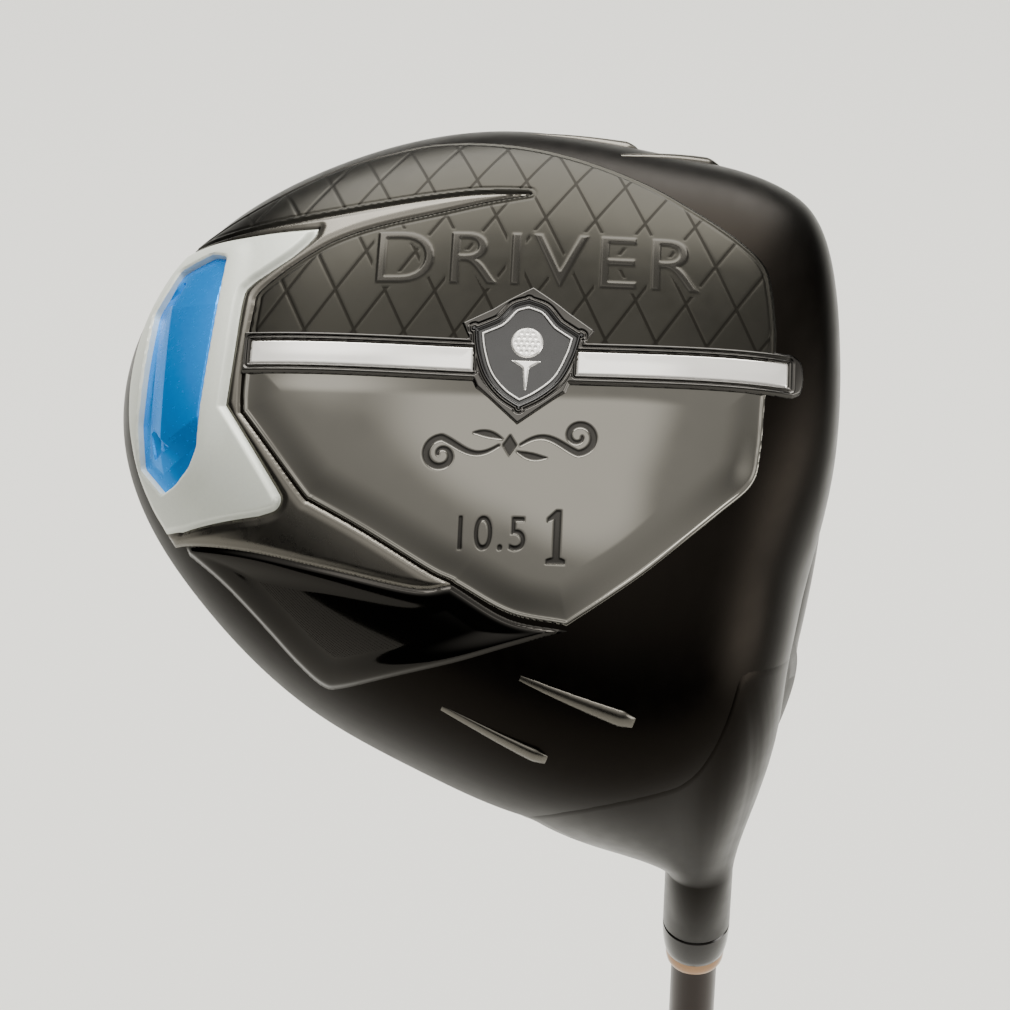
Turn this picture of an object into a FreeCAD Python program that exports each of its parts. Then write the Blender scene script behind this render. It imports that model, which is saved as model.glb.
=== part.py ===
import FreeCAD, Part
import math
import os
import Sketcher
from FreeCAD import Placement, Rotation, Vector

# A complete golf driver: hollow titanium head, bonded hosel, graphite shaft and rubber grip.
#
# Row frame: the shaft axis is Z, the origin is the middle of the grip's butt end and +Z runs
# towards the head.  +X is the direction in which the face looks.
# Head frame: X towards the target, Y from heel to toe, Z out of the sole, with its origin where the
# shaft axis meets the ground at address.  HEAD_PLACE turns and moves it into the row frame.

doc = FreeCAD.newDocument("golf_driver")
sheet = doc.addObject("Spreadsheet::Sheet", "Dimensions")

DIMENSIONS = [
    ("club_length", 1162.0),
    ("lie_angle", 59.0),
    ("loft_angle", 10.5),
    # head form
    ("head_height", 60.0),
    ("centre_back", -40.0),
    ("centre_toe", 28.0),
    ("ring_front", -30.0),
    ("ring_toe", -27.0),
    ("ring_rear", -24.0),
    ("ring_heel", -34.0),
    ("sole_power", 3.4),
    ("crown_power", 2.2),
    ("sole_shift", 8.0),
    ("crown_shift", 20.0),
    ("crown_heel_shift", -2.0),
    ("face_lead", 20.0),
    ("face_mid_height", 30.0),
    ("face_mid_toe", 25.0),
    ("face_radius", 300.0),
    ("edge_round", 6.0),
    # walls
    ("ring_wall", 1.4),
    ("sole_wall", 2.2),
    ("crown_wall", 1.0),
    ("face_wall", 3.0),
    ("cup_depth", 8.0),
    ("crown_seam", 34.0),
    ("rib_depth", 5.0),
    ("rib_width", 1.2),
    # sole trim
    ("trim_rise", 0.9),
    ("prism_depth", 21.0),
    ("badge_rise", 1.3),
    ("device_rise", 0.3),
    ("weight_depth", 5.0),
    ("fin_radius", 1.7),
    # neck and ferrule, measured from the ground along the shaft axis
    ("hosel_radius", 5.8),
    ("hosel_top", 80.0),
    ("flare_start", 66.0),
    ("flare_radius", 50.0),
    ("flare_drop", 20.0),
    ("bore_bottom", 46.0),
    ("socket_bottom", 43.0),
    ("ferrule_length", 6.5),
    ("ferrule_end_radius", 5.2),
    ("ring_length", 2.6),
    ("ring_radius", 5.1),
    # shaft
    ("tip_radius", 4.0),
    ("tip_bore", 2.2),
    ("tip_parallel", 100.0),
    ("butt_radius", 7.6),
    ("butt_bore", 6.5),
    ("butt_parallel", 275.0),
    ("plug_length", 18.0),
    # grip
    ("grip_length", 267.0),
    ("grip_butt_radius", 13.2),
    ("grip_mouth_radius", 8.9),
    ("tape_thickness", 0.25),
    ("cap_thickness", 3.0),
    ("cap_round", 1.2),
    ("vent_radius", 1.5),
]
for row, (alias, value) in enumerate(DIMENSIONS, start=1):
    sheet.set("A%d" % row, alias)
    sheet.set("B%d" % row, str(value))
    sheet.setAlias("B%d" % row, alias)
doc.recompute()


def size(alias):
    """The value of one cell of the sheet."""
    return float(getattr(sheet, alias))


HEAD_PLACE = Placement(Vector(0, 0, size("club_length")),
                       Rotation(Vector(1, 0, 0), 90 - size("lie_angle")))
# the shaft axis as the head frame sees it, with its Z still pointing from grip to head
AXIS_PLACE = Placement(Vector(0, 0, 0), Rotation(Vector(1, 0, 0), size("lie_angle") - 90))

# ------------------------------------------------------------------ head form

# distance from the head's centre to its widest ring, at each bearing from the face side (degrees)
RING = [(0, 60.5), (20, 66.0), (40, 71.0), (60, 63.0), (90, 58.5), (120, 58.5), (150, 61.5),
        (180, 60.0), (210, 53.0), (240, 51.0), (265, 54.5), (290, 65.5), (310, 69.0), (335, 59.5)]
RING_POINTS = 48
LEVELS = [0, 11, 23, 36, 50, 64, 77, 87]


def ring_curve():
    """Smooth closed curve of ring radius over bearing: x is the bearing, y the radius."""
    turns = [-360, 0, 360]
    points = [Vector(bearing + turn, radius, 0) for turn in turns for bearing, radius in RING]
    curve = Part.BSplineCurve()
    curve.interpolate(Points=points)
    return curve


RING_CURVE = ring_curve()


def ring_radius(bearing):
    """Ring radius at a bearing in degrees."""
    low, high = RING_CURVE.FirstParameter, RING_CURVE.LastParameter
    for _ in range(50):
        middle = (low + high) / 2
        if RING_CURVE.value(middle).x < bearing:
            low = middle
        else:
            high = middle
    return RING_CURVE.value(low).y


BEARINGS = [360.0 * i / RING_POINTS for i in range(RING_POINTS)]
RADII = [ring_radius(bearing) for bearing in BEARINGS]


def soft_limit(value, limit, rounding):
    """The smaller of two lengths, blended over the rounding where they meet."""
    mix = min(1.0, max(0.0, 0.5 + 0.5 * (limit - value) / rounding))
    return limit * (1 - mix) + value * mix - rounding * mix * (1 - mix)


def face_x(y, z, skin):
    """Face surface: loft, vertical roll and horizontal bulge, moved back by a skin."""
    rise = -z - size("face_mid_height")
    across = y - size("face_mid_toe")
    curve = (rise * rise + across * across) / (2 * size("face_radius"))
    return size("face_lead") - rise * math.tan(math.radians(size("loft_angle"))) - curve - skin


def head_point(index, level, skins):
    """One point of the head form: level -90 is the crown's top, 0 the ring, 90 the sole."""
    ring_skin, sole_skin, crown_skin, face_skin = skins
    bearing = math.radians(BEARINGS[index])
    side, front = math.sin(bearing), math.cos(bearing)
    front_z = size("ring_front") if front > 0 else size("ring_rear")
    side_z = size("ring_toe") if side > 0 else size("ring_heel")
    ring_z = front_z * front * front + side_z * side * side
    sole = level >= 0
    power = size("sole_power") if sole else size("crown_power")
    pole = -sole_skin if sole else crown_skin - size("head_height")
    shrink = math.cos(math.radians(level)) ** (2 / power)
    lift = 1.0 if abs(level) == LEVELS[-1] else math.sin(math.radians(abs(level)))
    radius = (RADII[index] - ring_skin) * shrink
    z = ring_z * (1 - lift) + pole * lift
    shift_x = size("sole_shift") if sole else size("crown_shift")
    shift_y = 0 if sole else size("crown_heel_shift")
    x = size("centre_back") + radius * front + shift_x * lift
    y = size("centre_toe") + radius * side + shift_y * lift
    x = soft_limit(x, face_x(y, z, face_skin), size("edge_round"))
    return Vector(x, y, z)


def head_form(name, ring_skin, sole_skin, crown_skin, face_skin, first=0):
    """Closed solid of the head form, moved inwards by the skins.  Its seam runs through the ring
    point whose index is first."""
    skins = (ring_skin, sole_skin, crown_skin, face_skin)
    levels = [-level for level in reversed(LEVELS[1:])] + LEVELS
    wires = []
    for level in levels:
        turned_points = [(first + i) % RING_POINTS for i in range(RING_POINTS)]
        points = [head_point(index, level, skins) for index in turned_points]
        curve = Part.BSplineCurve()
        curve.interpolate(Points=points, PeriodicFlag=True)
        wires.append(Part.Wire([curve.toShape()]))
    form = doc.addObject("Part::Feature", name)
    form.Shape = Part.makeLoft(wires, True, False)
    return form


def even_form(name, skin, first=0):
    """Head form moved inwards by one skin on every side."""
    return head_form(name, skin, skin, skin, skin, first)


# ------------------------------------------------------------------ helpers

PIECES = []


def piece(obj, label, place):
    """Name a finished sub-part and put it in the row frame."""
    obj.Label = label
    obj.Placement = place
    PIECES.append(obj)
    return obj


def boolean(kind, name, base, tool):
    """Part::Cut, Part::Common or Part::Fuse of two document objects."""
    obj = doc.addObject("Part::" + kind, name)
    obj.Base = base
    obj.Tool = tool
    return obj


def bind(obj, **expressions):
    """Bind properties to the sheet."""
    for name, expression in expressions.items():
        obj.setExpression(name, expression)
    return obj


def outline_wire(runs):
    """Closed wire in the XY plane.  Each run is a list of points that starts where the last run
    ended: two points make a straight edge, more points a smooth curve through them."""
    edges = []
    for run in runs:
        points = [Vector(x, y, 0) for x, y in run]
        if len(points) == 2:
            edges.append(Part.LineSegment(*points).toShape())
        else:
            curve = Part.BSplineCurve()
            curve.interpolate(Points=points)
            edges.append(curve.toShape())
    return Part.Wire(edges)


def chain(points):
    """Straight runs from each point to the next, without the closing one."""
    return [[a, b] for a, b in zip(points, points[1:])]


def flat(name, runs):
    """Flat face inside an outline."""
    obj = doc.addObject("Part::Feature", name)
    obj.Shape = Part.Face(outline_wire(runs))
    return obj


def prism(name, face, low="-prism_depth", high="badge_rise + 3"):
    """Upright prism over a face between two heights, given as sheet expressions."""
    obj = doc.addObject("Part::Extrusion", name)
    obj.Base = face
    obj.DirMode = "Custom"
    obj.Dir = Vector(0, 0, 1)
    obj.Solid = True
    bind(obj, LengthFwd=linked(high), LengthRev=linked("-(%s)" % low))
    return obj


def cut_all(name, base, tools):
    """Cut one tool after another."""
    for i, tool in enumerate(tools):
        base = boolean("Cut", "%s_%d" % (name, i), base, tool)
    return base


def turned(name, rim, shift="0"):
    """PartDesign body turned about Z.  rim lists (radius, height) as sheet expressions or
    numbers, once round the half section; shift moves every height."""
    body = doc.addObject("PartDesign::Body", name)
    plane = next(f for f in body.Origin.OriginFeatures if f.Role == "XZ_Plane")
    sketch = body.newObject("Sketcher::SketchObject", name + "_section")
    sketch.AttachmentSupport = [(plane, "")]
    sketch.MapMode = "FlatFace"
    points = [Vector(evaluate(r), evaluate(z) + evaluate(shift), 0) for r, z in rim]
    count = len(points)
    for i in range(count):
        sketch.addGeometry(Part.LineSegment(points[i], points[(i + 1) % count]), False)
    for i in range(count):
        sketch.addConstraint(Sketcher.Constraint("Coincident", i, 2, (i + 1) % count, 1))
    for i, (r, z) in enumerate(rim):
        if points[i].x < 1e-9:
            sketch.addConstraint(Sketcher.Constraint("PointOnObject", i, 1, -2))
        else:
            sketch.addConstraint(Sketcher.Constraint("DistanceX", -1, 1, i, 1, points[i].x))
            sketch.renameConstraint(sketch.ConstraintCount - 1, "radius_%d" % i)
            sketch.setExpression("Constraints.radius_%d" % i, linked(r))
        if points[i].y < 1e-9:
            sketch.addConstraint(Sketcher.Constraint("PointOnObject", i, 1, -1))
        else:
            sketch.addConstraint(Sketcher.Constraint("DistanceY", -1, 1, i, 1, points[i].y))
            sketch.renameConstraint(sketch.ConstraintCount - 1, "height_%d" % i)
            sketch.setExpression("Constraints.height_%d" % i, linked("(%s) + (%s)" % (z, shift)))
    turn = body.newObject("PartDesign::Revolution", name + "_turn")
    turn.Profile = sketch
    turn.ReferenceAxis = (sketch, ["V_Axis"])
    turn.Angle = 360
    body.Tip = turn
    doc.recompute()
    return body


ALIASES = sorted((alias for alias, _ in DIMENSIONS), key=len, reverse=True)


def linked(expression):
    """The same expression with each alias read from the sheet."""
    text = str(expression)
    marks = {}
    for i, alias in enumerate(ALIASES):
        if alias in text:
            mark = "@%d@" % i
            marks[mark] = "Dimensions." + alias
            text = text.replace(alias, mark)
    for mark, name in marks.items():
        text = text.replace(mark, name)
    return text


def evaluate(expression):
    """The number that a sheet expression stands for."""
    return float(sheet.evalExpression(linked(expression).replace("Dimensions.", "")))


# ------------------------------------------------------------------ outlines on the sole
# (x, y) in the head frame, millimetres

# the toe half and the heel half of the plate stop at the bar and at the badge
PLATE_TOE = [[(-66.0, 73.5), (-48.0, 79.0), (-24.0, 76.0), (-4.5, 65.5), (6.0, 57.5),
              (9.0, 48.0), (9.0, 39.5)]] + chain([
    (9.0, 39.5), (-21.5, 39.5), (-22.9, 43.1), (-27.9, 45.5), (-31.5, 47.7), (-35.1, 45.5),
    (-40.1, 43.1), (-41.0, 39.5), (-78.0, 39.5), (-76.0, 48.5), (-68.0, 56.0), (-64.5, 59.5),
    (-48.0, 64.5), (-33.0, 67.0), (-50.0, 66.8), (-84.0, 61.3), (-66.0, 73.5)])
PLATE_HEEL = [[(8.9, 35.1), (8.3, 28.0), (6.5, 18.0), (1.0, 12.0), (-9.0, 2.5),
               (-23.0, -8.0)]] + chain([
    (-23.0, -8.0), (-32.5, -5.5), (-42.0, -1.7), (-57.0, 7.0), (-67.0, 13.0), (-78.5, 27.0),
    (-78.3, 35.1), (-40.3, 35.1), (-37.9, 31.3), (-31.5, 25.3), (-25.1, 31.3), (-22.7, 35.1),
    (8.9, 35.1)])
WEDGE = [[(-42.0, -1.7), (-32.5, -5.5)], [(-32.5, -5.5), (-23.0, -8.0)],
         [(-23.0, -8.0), (-41.5, -12.0), (-59.5, -12.5)],
         [(-59.5, -12.5), (-67.0, -8.5), (-86.0, 7.0)]] + chain([
    (-86.0, 7.0), (-75.5, 4.5), (-63.0, 1.5), (-48.0, -2.0), (-42.0, -1.7)])
# the frame and the bezel run out past the rear of the head, which trims them
FRAME = chain([
    (-33.0, 67.0), (-48.0, 64.5), (-64.5, 59.5), (-68.0, 56.0), (-76.0, 48.5), (-78.0, 38.5),
    (-78.5, 27.0), (-67.0, 13.0), (-57.0, 7.0), (-42.0, -1.7), (-48.0, -2.0), (-63.0, 1.5),
    (-75.5, 4.5), (-86.0, 7.0), (-97.0, 5.5), (-106.0, 12.0), (-106.0, 55.0), (-97.0, 61.3),
    (-84.0, 61.3), (-50.0, 66.8), (-33.0, 67.0)])
BEZEL = chain([
    (-67.5, 59.8), (-75.5, 52.5), (-78.8, 49.5), (-80.5, 38.5), (-80.5, 28.0), (-71.0, 13.5),
    (-71.0, 11.0), (-86.0, 9.2), (-97.0, 8.0), (-104.0, 13.0), (-104.0, 54.0), (-97.0, 59.0),
    (-67.5, 59.8)])
WEIGHT = chain([(-82.0, 56.0), (-85.0, 57.0), (-90.0, 55.4), (-94.0, 48.3), (-95.0, 37.0),
                (-94.8, 26.0), (-93.0, 19.5), (-90.0, 16.0), (-86.0, 19.0), (-84.6, 28.0),
                (-82.0, 56.0)])
BAR_MIDDLE_Y = 37.0
BAR_HALF = 2.1
BAR_BACK = -77.0
BAR_FRONT = 13.0
BADGE_X = -31.5
SHIELD = [(0, 10.4), (3.6, 8.2), (8.6, 5.8), (8.0, 0.5), (6.4, -6.0), (0, -12.0),
          (-6.4, -6.0), (-8.0, 0.5), (-8.6, 5.8), (-3.6, 8.2), (0, 10.4)]


def bar_outline(x_low, x_high):
    """Closed outline of a bar centred on the middle line."""
    y_low, y_high = BAR_MIDDLE_Y - BAR_HALF, BAR_MIDDLE_Y + BAR_HALF
    return chain([(x_low, y_low), (x_high, y_low), (x_high, y_high), (x_low, y_high),
                  (x_low, y_low)])


def shield(scale):
    """The badge's outline at a scale, centred on the middle line."""
    return chain([(BADGE_X + scale * x, BAR_MIDDLE_Y + scale * y) for x, y in SHIELD])


# ------------------------------------------------------------------ head

outer = even_form("form_outer", 0.0)
cavity = head_form("form_cavity", size("ring_wall"), size("sole_wall"), size("crown_wall"),
                   size("face_wall"))
trim_top = even_form("form_trim_top", -size("trim_rise"))
# the same two forms with their seams on the toe side, for the plate on the heel side
TOE_SEAM = RING_POINTS // 4
outer_toe_seam = even_form("form_outer_toe_seam", 0.0, TOE_SEAM)
trim_top_toe_seam = even_form("form_trim_top_toe_seam", -size("trim_rise"), TOE_SEAM)
weight_floor = even_form("form_weight_floor", size("weight_depth"))
wall = boolean("Cut", "wall", outer, cavity)


def trim_tile(name, face, low=outer, high=trim_top):
    """The part of an upright prism that lies between the head's outside and the trim's top."""
    block = boolean("Common", name + "_block", prism(name + "_prism", face), high)
    return boolean("Cut", name + "_tile", block, low)


def flare_shape():
    """Cylinder with a gentle concave flare that closes again inside the head; heights run from
    the ground towards the grip."""
    radius, top = size("hosel_radius"), size("hosel_top")
    start, sweep, drop = size("flare_start"), size("flare_radius"), size("flare_drop")
    half = drop / 2

    def reach(depth):
        return radius + sweep - math.sqrt(sweep * sweep - depth * depth)

    foot = start - drop
    arc = Part.Arc(Vector(radius, 0, -start), Vector(reach(half), 0, -(start - half)),
                   Vector(reach(drop), 0, -foot))
    end = size("socket_bottom")
    corners = [Vector(reach(drop), 0, -foot), Vector(radius, 0, -end), Vector(0, 0, -end),
               Vector(0, 0, -top), Vector(radius, 0, -top), Vector(radius, 0, -start)]
    edges = [arc.toShape()]
    edges += [Part.LineSegment(a, b).toShape() for a, b in zip(corners, corners[1:])]
    return Part.Face(Part.Wire(edges)).revolve(Vector(0, 0, 0), Vector(0, 0, 1), 360)


# the neck: a flared tube about the shaft axis, with a blind bore for the shaft
flare = doc.addObject("Part::Feature", "neck_flare")
flare.Shape = flare_shape()
flare.Placement = AXIS_PLACE
neck_outside = boolean("Cut", "neck_outside", flare, cavity)
socket = doc.addObject("Part::Cylinder", "neck_socket")
bind(socket, Radius="Dimensions.hosel_radius",
     Height="Dimensions.hosel_top - Dimensions.socket_bottom")
socket.Placement = AXIS_PLACE.multiply(Placement(Vector(0, 0, -size("hosel_top")), Rotation()))
neck_full = boolean("Fuse", "neck_full", neck_outside, socket)
bore = doc.addObject("Part::Cylinder", "neck_bore")
bind(bore, Radius="Dimensions.tip_radius",
     Height="Dimensions.hosel_top - Dimensions.bore_bottom")
bore.Placement = socket.Placement
piece(boolean("Cut", "neck", neck_full, bore), "hosel_neck", HEAD_PLACE)

# face cup: everything ahead of a plane that leans back with the face
cup_box = doc.addObject("Part::Box", "cup_box")
bind(cup_box, Length="60", Width="200", Height="120")
lean = Rotation(Vector(0, 1, 0), size("loft_angle"))
cup_corner = Vector(size("face_lead") - size("cup_depth"), -60, -size("face_mid_height"))
cup_box.Placement = Placement(cup_corner, lean).multiply(Placement(Vector(0, 0, -60), Rotation()))
crown_box = doc.addObject("Part::Box", "crown_box")
bind(crown_box, Length="240", Width="240", Height="60")
crown_box.Placement = Placement(Vector(-160, -90, -size("crown_seam") - 60), Rotation())

open_wall = boolean("Cut", "open_wall", wall, neck_full)
piece(boolean("Common", "cup", cup_box, open_wall), "face_cup", HEAD_PLACE)
behind = boolean("Cut", "behind", open_wall, cup_box)
piece(boolean("Common", "crown", behind, crown_box), "crown_shell", HEAD_PLACE)
lower = boolean("Cut", "lower", behind, crown_box)

# trim on the sole: each piece is an upright prism kept between two head forms
frame_flat = cut_all("frame_flat", flat("frame_outline", FRAME),
                     [flat("frame_bezel", BEZEL), flat("frame_bar", bar_outline(BAR_BACK, 0))])
bezel_flat = cut_all("bezel_flat", flat("bezel_outline", BEZEL), [flat("bezel_hole", WEIGHT)])
for name, face in (("toe_plate", flat("toe_outline", PLATE_TOE)),
                   ("heel_wedge", flat("wedge_outline", WEDGE)),
                   ("wing_frame", frame_flat), ("rear_bezel", bezel_flat)):
    piece(trim_tile(name, face), name, HEAD_PLACE)
heel_tile = trim_tile("heel_plate", flat("heel_outline", PLATE_HEEL), outer_toe_seam,
                      trim_top_toe_seam)
piece(heel_tile, "heel_plate", HEAD_PLACE)
shield_hole = flat("bar_shield", shield(1.0))
for side, x_low, x_high in (("rear", BAR_BACK, BADGE_X), ("front", BADGE_X, BAR_FRONT)):
    strip = flat(side + "_bar_outline", bar_outline(x_low, x_high))
    strip = boolean("Cut", side + "_bar_flat", strip, shield_hole)
    piece(trim_tile(side + "_bar", strip), side + "_bar_inlay", HEAD_PLACE)
weight_prism = prism("weight_prism", flat("weight_outline", WEIGHT))
weight_block = boolean("Cut", "weight_block", weight_prism, weight_floor)
piece(boolean("Common", "weight", weight_block, trim_top), "rear_weight", HEAD_PLACE)

# badge: a flat shield with a smaller raised device on it
badge_block = prism("badge_block", flat("badge_outline", shield(1.0)), "-prism_depth / 4",
                    "badge_rise")
badge = boolean("Cut", "badge", badge_block, outer)
piece(badge, "badge_plate", HEAD_PLACE)
device = prism("device", flat("device_outline", shield(0.72)), "badge_rise",
               "badge_rise + device_rise")
piece(device, "badge_device", HEAD_PLACE)

# sole body: lower wall with ribs inside, fins outside and a hole for the weight
rib_form = even_form("form_ribs", size("sole_wall") / 2)
rib_boxes = []
for i, y_rib in enumerate((4.0, 37.0, 60.0)):
    rib_box = doc.addObject("Part::Box", "rib_box_%d" % i)
    bind(rib_box, Length="64", Width="Dimensions.rib_width", Height="Dimensions.rib_depth")
    rib_box.Placement = Placement(Vector(-66, y_rib, -1.5 - size("rib_depth")), Rotation())
    rib_boxes.append(rib_box)
rib_group = doc.addObject("Part::Compound", "rib_group")
rib_group.Links = rib_boxes
ribs = boolean("Common", "ribs", rib_form, rib_group)

# (rear point, front point) of each fin on the skirt
FINS = [((-43.0, -18.0, -15.2), (-25.5, -25.0, -16.5)),
        ((-30.0, -14.0, -8.4), (-12.0, -20.3, -10.5)),
        ((-33.5, 82.2, -15.4), (-15.0, 82.8, -19.0)),
        ((-18.0, 77.0, -11.8), (-1.3, 80.0, -19.5))]
fins = []
for i, (rear, front) in enumerate(FINS):
    start, end = Vector(*rear), Vector(*front)
    fin = doc.addObject("Part::Cone", "fin_%d" % i)
    bind(fin, Radius1="0.2", Radius2="Dimensions.fin_radius", Height=str((end - start).Length))
    fin.Placement = Placement(start, Rotation(Vector(0, 0, 1), end - start))
    fins.append(fin)
fin_group = doc.addObject("Part::Compound", "fin_group")
fin_group.Links = fins

sole = boolean("Cut", "sole_with_hole", lower, weight_prism)
sole = boolean("Fuse", "sole_with_ribs", sole, ribs)
sole = boolean("Fuse", "sole_with_fins", sole, fin_group)
piece(sole, "sole_body", HEAD_PLACE)

# ------------------------------------------------------------------ shaft line (row frame)

FERRULE_FOOT = "club_length - hosel_top"
ferrule = turned("ferrule_body", [
    ("tip_radius", "-ferrule_length"), ("ferrule_end_radius", "-ferrule_length"),
    ("hosel_radius - 0.35", "-ferrule_length + 2.2"), ("hosel_radius", "-ferrule_length + 5"),
    ("hosel_radius", "0"), ("tip_radius", "0")], FERRULE_FOOT)
piece(ferrule, "ferrule", Placement())
trim_ring = turned("ring_body", [
    ("tip_radius", "-ring_length"), ("ring_radius - 0.5", "-ring_length"),
    ("ring_radius", "-ring_length + 0.5"), ("ring_radius", "0"), ("tip_radius", "0")],
    FERRULE_FOOT + " - ferrule_length")
piece(trim_ring, "ferrule_ring", Placement())

TIP_END = "club_length - bore_bottom"
shaft = turned("shaft_body", [
    ("butt_bore", "cap_thickness"), ("butt_radius", "cap_thickness"),
    ("butt_radius", "butt_parallel"), ("tip_radius", TIP_END + " - tip_parallel"),
    ("tip_radius", TIP_END), ("tip_bore", TIP_END), ("tip_bore", TIP_END + " - tip_parallel"),
    ("butt_bore", "butt_parallel")])
piece(shaft, "shaft", Placement())
plug = turned("plug_body", [
    ("0", TIP_END + " - plug_length"), ("tip_bore - 0.6", TIP_END + " - plug_length"),
    ("tip_bore", TIP_END + " - plug_length + 1.5"), ("tip_bore", TIP_END), ("0", TIP_END)])
piece(plug, "swing_weight_plug", Placement())

tape = turned("tape_body", [
    ("butt_radius", "cap_thickness"), ("butt_radius + tape_thickness", "cap_thickness"),
    ("butt_radius + tape_thickness", "grip_length - 4"), ("butt_radius", "grip_length - 4")])
piece(tape, "grip_tape", Placement())
grip = turned("grip_body", [
    ("butt_radius + tape_thickness", "cap_thickness"), ("grip_butt_radius", "cap_thickness"),
    ("grip_butt_radius", "12"), ("grip_butt_radius - 1.9", "60"),
    ("grip_mouth_radius", "grip_length - 6"), ("grip_mouth_radius - 0.7", "grip_length"),
    ("butt_radius", "grip_length"), ("butt_radius", "grip_length - 4"),
    ("butt_radius + tape_thickness", "grip_length - 4")])
piece(grip, "grip_sleeve", Placement())
cap = turned("cap_body", [
    ("vent_radius", "0"), ("grip_butt_radius - cap_round", "0"),
    ("grip_butt_radius", "cap_round"), ("grip_butt_radius", "cap_thickness"),
    ("vent_radius", "cap_thickness")])
piece(cap, "grip_cap", Placement())

# ------------------------------------------------------------------ checks and files

doc.recompute()
for obj in doc.Objects:
    if "Invalid" in obj.State or "Error" in obj.State:
        raise RuntimeError("%s failed: %s" % (obj.Name, obj.State))
os.makedirs("parts", exist_ok=True)
for obj in PIECES:
    if obj.Shape.isNull() or not obj.Shape.isValid():
        raise RuntimeError("%s has no valid shape" % obj.Label)
    obj.Shape.exportStep("parts/%s.step" % obj.Label)
    print("%-18s solids %d volume %10.1f" % (obj.Label, len(obj.Shape.Solids), obj.Shape.Volume))
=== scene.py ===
import math
import bmesh
import bpy
import numpy as np
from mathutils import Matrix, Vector
from mathutils.bvhtree import BVHTree


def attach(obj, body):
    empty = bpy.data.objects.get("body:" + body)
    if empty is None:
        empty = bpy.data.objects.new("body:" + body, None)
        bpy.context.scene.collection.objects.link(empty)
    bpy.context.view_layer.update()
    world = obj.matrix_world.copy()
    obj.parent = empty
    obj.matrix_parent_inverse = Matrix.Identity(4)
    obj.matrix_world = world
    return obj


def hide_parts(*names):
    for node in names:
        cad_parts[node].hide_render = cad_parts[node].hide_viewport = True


# Looks of the golf driver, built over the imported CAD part.
# Head frame, in millimetres: X towards the target, Y from heel to toe, Z out of the sole, with
# its origin where the shaft axis meets the ground at address.
# Row frame: the shaft axis is Z, the origin is the middle of the grip's butt end.

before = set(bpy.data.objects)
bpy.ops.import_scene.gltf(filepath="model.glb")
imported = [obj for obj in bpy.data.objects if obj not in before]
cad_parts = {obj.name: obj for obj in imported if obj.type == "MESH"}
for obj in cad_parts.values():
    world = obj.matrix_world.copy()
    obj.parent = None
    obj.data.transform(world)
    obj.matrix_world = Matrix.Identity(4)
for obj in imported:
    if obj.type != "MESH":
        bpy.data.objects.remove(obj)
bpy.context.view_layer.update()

CLUB_LENGTH = 1162.0
TILT = math.radians(31.0)
MM = 0.001


def to_row(points):
    """Head frame points in millimetres as row frame points in millimetres."""
    points = np.asarray(points, float)
    x, y, z = points[..., 0], points[..., 1], points[..., 2]
    c, s = math.cos(TILT), math.sin(TILT)
    return np.stack([x, y * c - z * s, y * s + z * c + CLUB_LENGTH], axis=-1)


def row_point(point):
    """One head frame point as a row frame vector, both in millimetres."""
    return Vector(to_row(point))


# ---- curves

def periodic_spline(knots, values, period):
    """Function through the values that repeats after the period, with a smooth second
    derivative."""
    n = len(knots)
    step = np.diff(np.append(knots, knots[0] + period))
    rise = np.diff(np.append(values, values[0])) / step
    matrix = np.zeros((n, n))
    for i in range(n):
        matrix[i, i - 1] += step[i - 1]
        matrix[i, i] += 2 * (step[i - 1] + step[i])
        matrix[i, (i + 1) % n] += step[i]
    bend = np.linalg.solve(matrix, 6 * (rise - np.roll(rise, 1)))

    def at(where):
        where = np.mod(np.asarray(where, float) - knots[0], period) + knots[0]
        i = np.clip(np.searchsorted(knots, where, side="right") - 1, 0, n - 1)
        j = (i + 1) % n
        h = step[i]
        b = (where - knots[i]) / h
        a = 1 - b
        cubic = (a ** 3 - a) * bend[i] + (b ** 3 - b) * bend[j]
        return a * values[i] + b * values[j] + cubic * h * h / 6

    return at


def run_line(points, step=0.3):
    """Points along one smooth run: straight for two points, a Catmull-Rom curve for more."""
    points = np.asarray(points, float)
    if len(points) == 2:
        count = max(2, int(np.linalg.norm(points[1] - points[0]) / step) + 1)
        t = np.linspace(0, 1, count)[:, None]
        return points[0] * (1 - t) + points[1] * t
    padded = np.vstack([2 * points[0] - points[1], points, 2 * points[-1] - points[-2]])
    lines = []
    for i in range(1, len(padded) - 2):
        p0, p1, p2, p3 = padded[i - 1:i + 3]
        count = max(3, int(np.linalg.norm(p2 - p1) / step) + 1)
        t = np.linspace(0, 1, count, endpoint=False)[:, None]
        tangent_1 = (p2 - p0) / 2
        tangent_2 = (p3 - p1) / 2
        lines.append((2 * t ** 3 - 3 * t ** 2 + 1) * p1 + (t ** 3 - 2 * t ** 2 + t) * tangent_1
                     + (3 * t ** 2 - 2 * t ** 3) * p2 + (t ** 3 - t ** 2) * tangent_2)
    lines.append(points[-1:])
    return np.vstack(lines)


def closed_line(runs, step=0.3):
    """Closed outline made of smooth runs that meet at corners."""
    return np.vstack([run_line(run, step)[:-1] for run in runs])


def ring_segments(line):
    """The segments of a closed line."""
    return np.stack([line, np.roll(line, -1, axis=0)], axis=1)


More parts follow.
